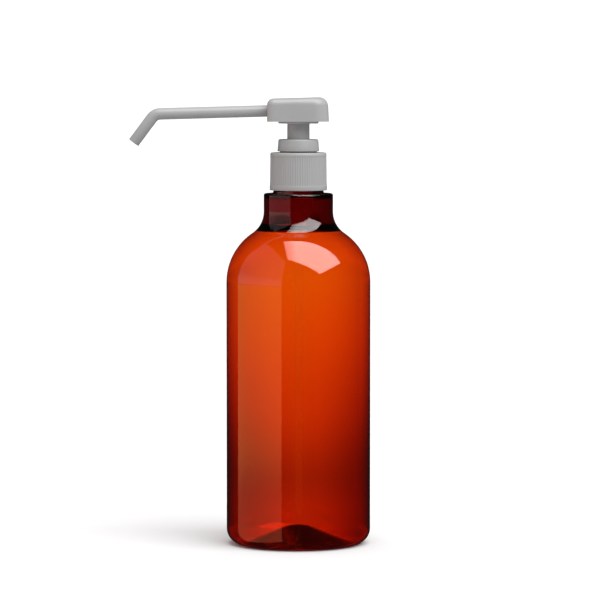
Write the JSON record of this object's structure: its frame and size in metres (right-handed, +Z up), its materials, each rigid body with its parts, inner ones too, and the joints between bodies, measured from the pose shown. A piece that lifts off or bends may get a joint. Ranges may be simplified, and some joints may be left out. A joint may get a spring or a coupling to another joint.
{
  "type": "pump bottle",
  "caption": "Round amber bottle with a domed shoulder and a grey screw-on lotion pump with an oblong head and a long bent nozzle.",
  "frame": {"origin": "the middle of the part's box seen from above, on the plane the bottle stands on; the bottle's axis is the vertical line 29.3 mm to its +X side", "axes": "+Z up along the bottle's axis, -X the way the nozzle points, +Y away from the picture's viewpoint"},
  "size_m": [0.1456, 0.087, 0.27],
  "materials": {
    "amber_pet": "clear gloss, tinted amber",
    "grey_plastic": "satin moulded",
    "natural_plastic": "natural polypropylene",
    "seal_plastic": "soft polyethylene",
    "steel": "drawn wire and polished balls"
  },
  "bodies": {
    "bottle": {"bottle": "amber_pet"},
    "pump": {"pump_housing": "natural_plastic", "chaplet": "grey_plastic", "neck_gasket": "seal_plastic", "ball_cage": "natural_plastic", "inlet_ball": "steel", "return_spring": "steel", "dip_tube": "natural_plastic"},
    "closure": {"screw_closure": "grey_plastic"},
    "plunger": {"piston": "seal_plastic"},
    "head": {"piston_rod": "natural_plastic", "stem": "grey_plastic", "outlet_ball": "steel", "pump_head": "grey_plastic", "nozzle_tube": "grey_plastic"}
  },
  "joints": [
    {"name": "pump_lift", "type": "slide", "parent": "bottle", "child": "pump", "axis": [0, 0, 1], "range_m": [0, 0.0053]},
    {"name": "closure_turn", "type": "hinge", "parent": "pump", "child": "closure", "pos_m": [0.02928, 0, 0], "axis": [0, 0, 1], "range_deg": [0, 450]},
    {"name": "head_press", "type": "slide", "parent": "pump", "child": "plunger", "axis": [0, 0, -1], "range_m": [0, 0.0092], "stiffness_N_per_m": 800, "springref_m": -0.008, "deforming": ["return_spring"]},
    {"name": "head_swivel", "type": "hinge", "parent": "plunger", "child": "head", "pos_m": [0.02928, 0, 0], "axis": [0, 0, 1], "continuous": true}
  ],
  "couplings": [
    {"joint": "pump_lift", "follows": "closure_turn", "m_per_rad": 0.00067323}
  ]
}
